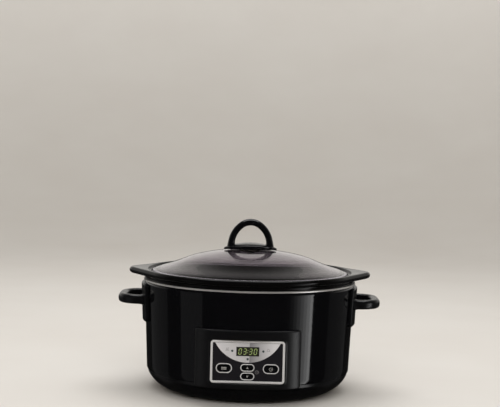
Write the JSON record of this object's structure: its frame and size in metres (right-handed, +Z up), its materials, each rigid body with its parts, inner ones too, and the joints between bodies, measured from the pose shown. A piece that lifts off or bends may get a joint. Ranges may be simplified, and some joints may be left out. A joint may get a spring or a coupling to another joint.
{
  "type": "slow cooker",
  "caption": "Round countertop slow cooker: black steel housing, lift-out stoneware pot with side lugs, domed glass lid with loop handle, and a timer panel.",
  "frame": {"origin": "on the floor under the middle of the cooker, centre of the bottom of its box", "axes": "+Z up, controls face -Y, side handles along X"},
  "size_m": [0.37, 0.304, 0.2421],
  "materials": {
    "black_painted_steel": "gloss",
    "bright_steel": "polished",
    "black_glaze": "gloss",
    "clear_glass": "polished",
    "black_plastic": "satin",
    "black_rubber": "matte",
    "silicone": "matte",
    "aluminium": "satin",
    "zinc_plated_steel": "satin",
    "grey_panel": "satin",
    "silver_panel": "brushed",
    "dark_window": "gloss",
    "grey_component": "matte",
    "button_black": "gloss",
    "indicator_lens": "gloss",
    "circuit_board": "matte",
    "heater_sheet": "matte",
    "white_ceramic": "matte"
  },
  "bodies": {
    "base": {"base_tray": "black_plastic", "foot_front_left": "black_rubber", "foot_front_right": "black_rubber", "foot_back_left": "black_rubber", "foot_back_right": "black_rubber", "outer_housing": "black_painted_steel", "trim_ring": "bright_steel", "heating_well": "aluminium", "side_handle_left": "black_plastic", "side_handle_right": "black_plastic", "handle_screws": "zinc_plated_steel", "control_boss": "black_plastic", "boss_screws": "zinc_plated_steel", "control_fascia": "grey_panel", "fascia_frame": "silver_panel", "fascia_crescent": "silver_panel", "display_window": "dark_window", "display_module": "grey_component", "indicator_left": "indicator_lens", "indicator_right": "indicator_lens", "indicator_low": "indicator_lens", "mode_button_ring": "silver_panel", "power_button_ring": "silver_panel", "up_button_ring": "silver_panel", "down_button_ring": "silver_panel", "control_board": "circuit_board", "tact_switches": "grey_component", "board_screws": "zinc_plated_steel", "heater_band": "heater_sheet", "heater_clamp": "zinc_plated_steel", "clamp_screw": "zinc_plated_steel", "thermal_fuse": "white_ceramic", "fuse_clip": "zinc_plated_steel", "temperature_sensor": "aluminium", "heat_shield": "aluminium", "well_studs": "zinc_plated_steel", "base_screws": "zinc_plated_steel", "power_board": "circuit_board", "power_board_screws": "zinc_plated_steel", "power_relay": "grey_component", "supply_capacitor": "grey_component", "terminal_block": "grey_component", "cord_gland": "black_rubber"},
    "pot": {"stoneware_pot": "black_glaze"},
    "lid": {"lid_glass": "clear_glass", "lid_handle": "black_plastic", "lid_gasket": "silicone", "lid_washer": "zinc_plated_steel", "lid_screw": "zinc_plated_steel"},
    "mode_button": {"mode_button": "button_black"},
    "up_button": {"up_button": "button_black"},
    "down_button": {"down_button": "button_black"},
    "power_button": {"power_button": "button_black"}
  },
  "joints": [
    {"name": "pot_lift", "type": "slide", "parent": "base", "child": "pot", "axis": [0, 0, 1], "range_m": [0, 0.15]},
    {"name": "lid_lift", "type": "slide", "parent": "pot", "child": "lid", "axis": [0, 0, 1], "range_m": [0, 0.1]},
    {"name": "mode_button_press", "type": "slide", "parent": "base", "child": "mode_button", "axis": [0, 1, 0], "range_m": [0, 0.001], "stiffness_N_per_m": 400},
    {"name": "up_button_press", "type": "slide", "parent": "base", "child": "up_button", "axis": [0, 1, 0], "range_m": [0, 0.001], "stiffness_N_per_m": 400},
    {"name": "down_button_press", "type": "slide", "parent": "base", "child": "down_button", "axis": [0, 1, 0], "range_m": [0, 0.001], "stiffness_N_per_m": 400},
    {"name": "power_button_press", "type": "slide", "parent": "base", "child": "power_button", "axis": [0, 1, 0], "range_m": [0, 0.001], "stiffness_N_per_m": 400}
  ]
}
